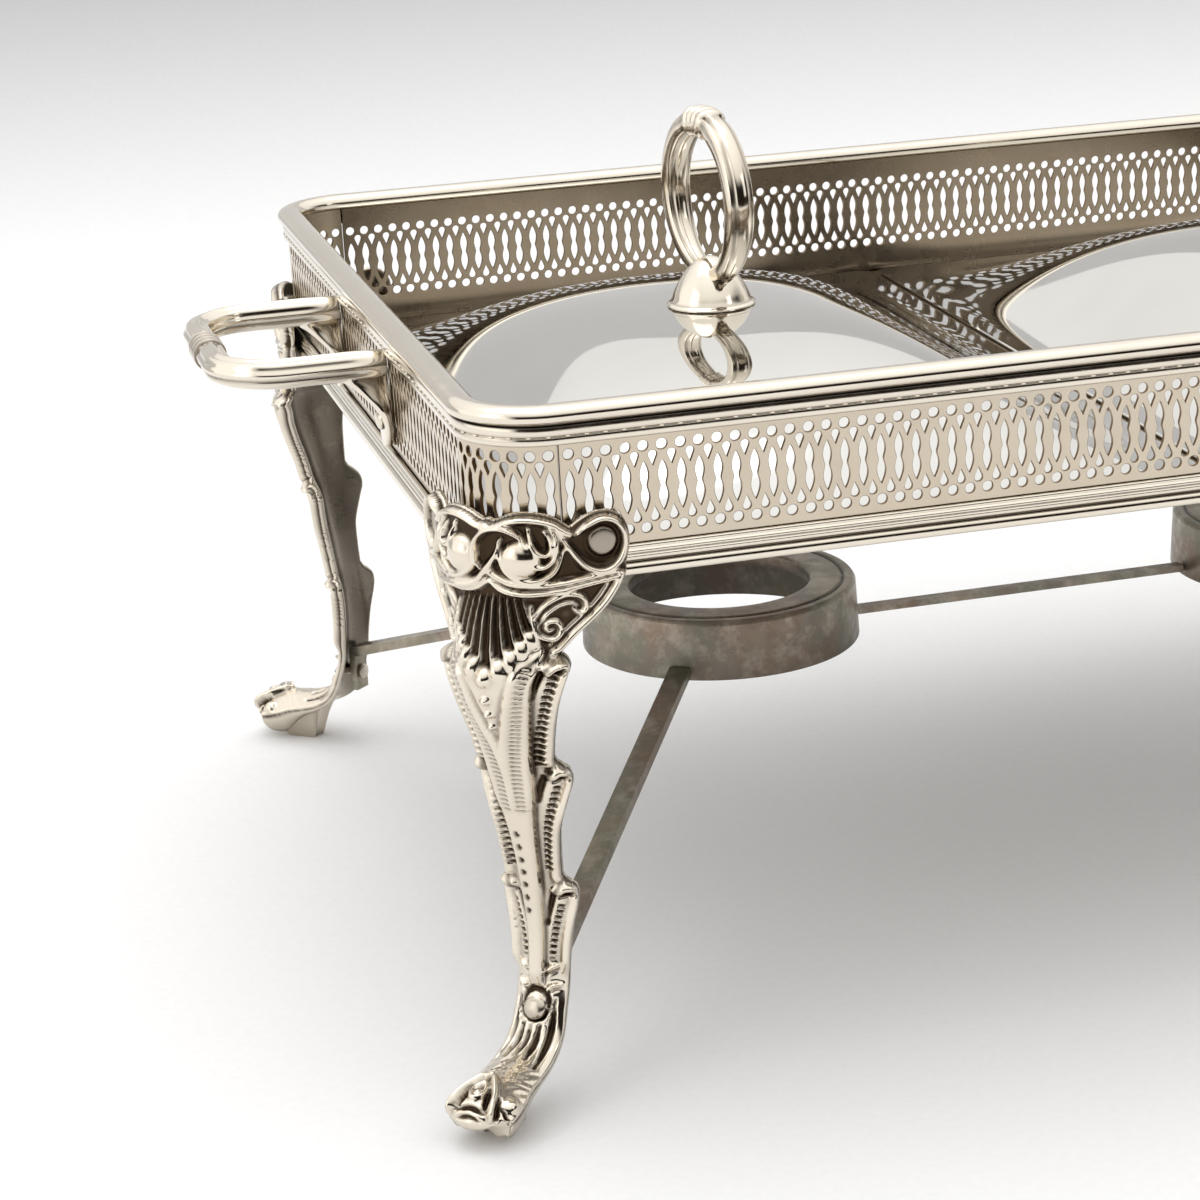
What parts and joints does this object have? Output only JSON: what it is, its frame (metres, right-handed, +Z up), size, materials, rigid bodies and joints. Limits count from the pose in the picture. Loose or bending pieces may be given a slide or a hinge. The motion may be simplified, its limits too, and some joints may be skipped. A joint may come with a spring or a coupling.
{
  "type": "chafing dish stand",
  "caption": "Rectangular buffet stand with a pierced gallery, cast cabriole legs, burner rings and lift-off domed lids, holding food pans over burners.",
  "frame": {"origin": "on the floor, midway between the four feet", "axes": "+Z up, +X along the length of the stand, towards the right-hand end handle, +Y towards the back"},
  "size_m": [0.4882, 0.3406, 0.2247],
  "materials": {
    "silver_plate": "polished silver plate on brass, slightly warm",
    "cast_silver_plate": "silver-plated casting, dark in the hollows",
    "tarnished_plate": "heat-tarnished plate, brown and iridescent",
    "mirror_steel": "mirror-polished stainless steel"
  },
  "bodies": {
    "stand": {"gallery_front": "silver_plate", "gallery_back": "silver_plate", "gallery_left": "silver_plate", "gallery_right": "silver_plate", "gallery_corner_front_left": "silver_plate", "gallery_corner_front_right": "silver_plate", "gallery_corner_back_right": "silver_plate", "gallery_corner_back_left": "silver_plate", "top_rim": "silver_plate", "bottom_rim": "silver_plate", "centre_bar": "silver_plate", "leg_front_left": "cast_silver_plate", "leg_front_right": "cast_silver_plate", "leg_back_right": "cast_silver_plate", "leg_back_left": "cast_silver_plate", "leg_nut_front_left": "silver_plate", "leg_nut_front_right": "silver_plate", "leg_nut_back_right": "silver_plate", "leg_nut_back_left": "silver_plate", "leg_rivet_front_left": "tarnished_plate", "leg_rivet_front_right": "tarnished_plate", "leg_rivet_back_right": "tarnished_plate", "leg_rivet_back_left": "tarnished_plate", "ring_bar_front_left": "tarnished_plate", "ring_bar_front_right": "tarnished_plate", "ring_bar_back_right": "tarnished_plate", "ring_bar_back_left": "tarnished_plate", "ring_link_bar": "tarnished_plate", "burner_ring_left": "tarnished_plate", "burner_ring_right": "tarnished_plate", "end_handle_left": "cast_silver_plate", "end_handle_right": "cast_silver_plate", "handle_rivet_left_front": "silver_plate", "handle_rivet_left_back": "silver_plate", "handle_rivet_right_front": "silver_plate", "handle_rivet_right_back": "silver_plate"},
    "left_lid": {"lid_left": "mirror_steel", "lid_bell_left": "silver_plate", "lid_grip_left": "cast_silver_plate", "lid_screw_left": "silver_plate"},
    "right_lid": {"lid_right": "mirror_steel", "lid_bell_right": "silver_plate", "lid_grip_right": "cast_silver_plate", "lid_screw_right": "silver_plate"}
  },
  "joints": [
    {"name": "left_lid_lift", "type": "slide", "parent": "stand", "child": "left_lid", "axis": [0, 0, 1], "range_m": [0, 0.06]},
    {"name": "right_lid_lift", "type": "slide", "parent": "stand", "child": "right_lid", "axis": [0, 0, 1], "range_m": [0, 0.06]}
  ]
}
